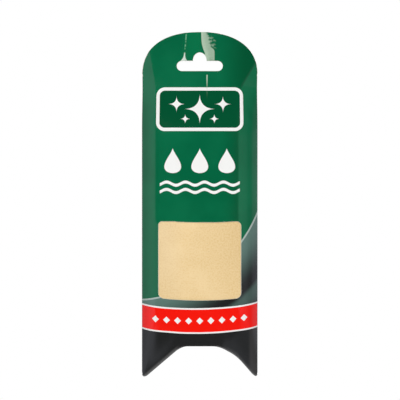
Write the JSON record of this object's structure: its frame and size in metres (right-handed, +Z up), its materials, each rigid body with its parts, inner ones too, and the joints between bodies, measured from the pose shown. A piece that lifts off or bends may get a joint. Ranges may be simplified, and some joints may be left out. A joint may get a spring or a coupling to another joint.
{
  "type": "packed chamois leather",
  "caption": "Folded chamois leather in a hanging carton sleeve with a flat round-topped header, peg slot, open window and tucked foot flaps.",
  "frame": {"origin": "where a shop peg carries the pack: the top of the peg slot, midway between the two plies of the header", "axes": "+Z up as the pack hangs, -Y out of the face with the window, +X to the right seen from that face"},
  "size_m": [0.0804, 0.0274, 0.2409],
  "materials": {
    "printed_board": "glossy varnished print",
    "foot_board": "glossy varnished print outside, raw board inside",
    "raw_board": "raw board",
    "chamois": "soft oil-tanned suede"
  },
  "bodies": {
    "sleeve": {"front_panel": "printed_board", "back_panel": "printed_board", "side_glue_flap": "raw_board"},
    "leather": {"leather": "chamois"},
    "front_flap_left": {"front_flap_left": "foot_board"},
    "front_flap_centre": {"front_flap_centre": "foot_board"},
    "front_flap_right_inner": {"front_flap_right_inner": "foot_board"},
    "front_flap_right_outer": {"front_flap_right_outer": "foot_board"},
    "back_flap_left": {"back_flap_left": "foot_board"},
    "back_flap_centre": {"back_flap_centre": "foot_board"},
    "back_flap_right_inner": {"back_flap_right_inner": "foot_board"},
    "back_flap_right_outer": {"back_flap_right_outer": "foot_board"}
  },
  "joints": [
    {"name": "leather_draw", "type": "slide", "parent": "sleeve", "child": "leather", "axis": [0, 0, -1], "range_m": [0, 0.185], "deforming": ["leather", "front_flap_left", "front_flap_centre", "front_flap_right_inner", "front_flap_right_outer", "back_flap_left", "back_flap_centre", "back_flap_right_inner", "back_flap_right_outer"]},
    {"name": "front_flap_left_crease", "type": "hinge", "parent": "sleeve", "child": "front_flap_left", "pos_m": [-0.0125, -0.01375, -0.20197], "axis": [-0.701, 0.329, -0.6327], "range_deg": [0, 140]},
    {"name": "front_flap_centre_crease", "type": "hinge", "parent": "sleeve", "child": "front_flap_centre", "pos_m": [0.00025, -0.01375, -0.20197], "axis": [-1, 0, 0], "range_deg": [0, 125.1]},
    {"name": "front_flap_right_inner_crease", "type": "hinge", "parent": "sleeve", "child": "front_flap_right_inner", "pos_m": [0.013, -0.01375, -0.20197], "axis": [-0.8387, -0.2512, 0.4831], "range_deg": [0, 132.9]},
    {"name": "front_flap_right_outer_crease", "type": "hinge", "parent": "sleeve", "child": "front_flap_right_outer", "pos_m": [0.0255, -0.01001, -0.20916], "axis": [-0.591, -0.3721, 0.7157], "range_deg": [0, 145.9]},
    {"name": "back_flap_left_crease", "type": "hinge", "parent": "sleeve", "child": "back_flap_left", "pos_m": [-0.0125, 0.01375, -0.20088], "axis": [0.701, 0.329, 0.6327], "range_deg": [0, 140]},
    {"name": "back_flap_centre_crease", "type": "hinge", "parent": "sleeve", "child": "back_flap_centre", "pos_m": [0.00025, 0.01375, -0.20088], "axis": [1, 0, 0], "range_deg": [0, 125.1]},
    {"name": "back_flap_right_inner_crease", "type": "hinge", "parent": "sleeve", "child": "back_flap_right_inner", "pos_m": [0.013, 0.01375, -0.20088], "axis": [0.8387, -0.2512, -0.4831], "range_deg": [0, 132.9]},
    {"name": "back_flap_right_outer_crease", "type": "hinge", "parent": "sleeve", "child": "back_flap_right_outer", "pos_m": [0.0255, 0.01001, -0.20808], "axis": [0.591, -0.3721, -0.7157], "range_deg": [0, 145.9]}
  ],
  "couplings": [
    {"joint": "front_flap_left_crease", "follows": "leather_draw", "rad_per_m": 13.203},
    {"joint": "front_flap_centre_crease", "follows": "leather_draw", "rad_per_m": 11.798},
    {"joint": "front_flap_right_inner_crease", "follows": "leather_draw", "rad_per_m": 12.535},
    {"joint": "front_flap_right_outer_crease", "follows": "leather_draw", "rad_per_m": 13.758},
    {"joint": "back_flap_left_crease", "follows": "leather_draw", "rad_per_m": 13.203},
    {"joint": "back_flap_centre_crease", "follows": "leather_draw", "rad_per_m": 11.798},
    {"joint": "back_flap_right_inner_crease", "follows": "leather_draw", "rad_per_m": 12.535},
    {"joint": "back_flap_right_outer_crease", "follows": "leather_draw", "rad_per_m": 13.758}
  ]
}
